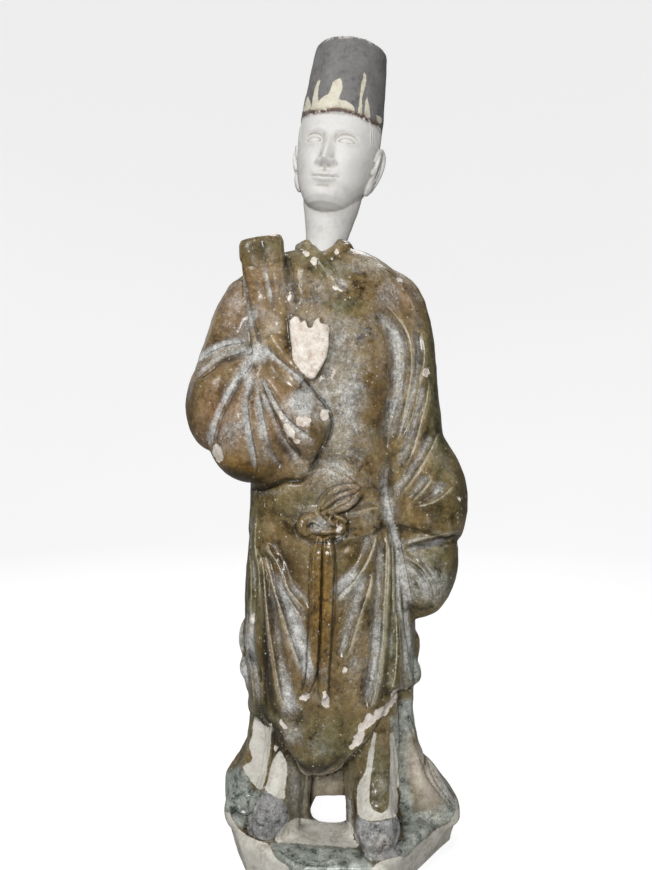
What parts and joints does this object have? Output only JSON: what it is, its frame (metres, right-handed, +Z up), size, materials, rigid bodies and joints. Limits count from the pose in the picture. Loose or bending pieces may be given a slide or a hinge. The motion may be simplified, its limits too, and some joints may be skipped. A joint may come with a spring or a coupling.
{
  "type": "pottery scholar figure",
  "caption": "Standing robed scholar figure in glazed pottery with a tall round cap, a bundle at the shoulder, a knotted sash and a low plinth.",
  "frame": {"origin": "middle of the plinth's flat underside, on the surface it stands on", "axes": "+Z up, -Y the way the figure faces, +X the figure's left"},
  "size_m": [0.2042, 0.125, 0.5998],
  "materials": {
    "glazed_body": "gloss",
    "white_head": "matte"
  },
  "bodies": {
    "root": {"robed_body_on_plinth": "glazed_body", "head_with_cap": "white_head"}
  },
  "joints": []
}
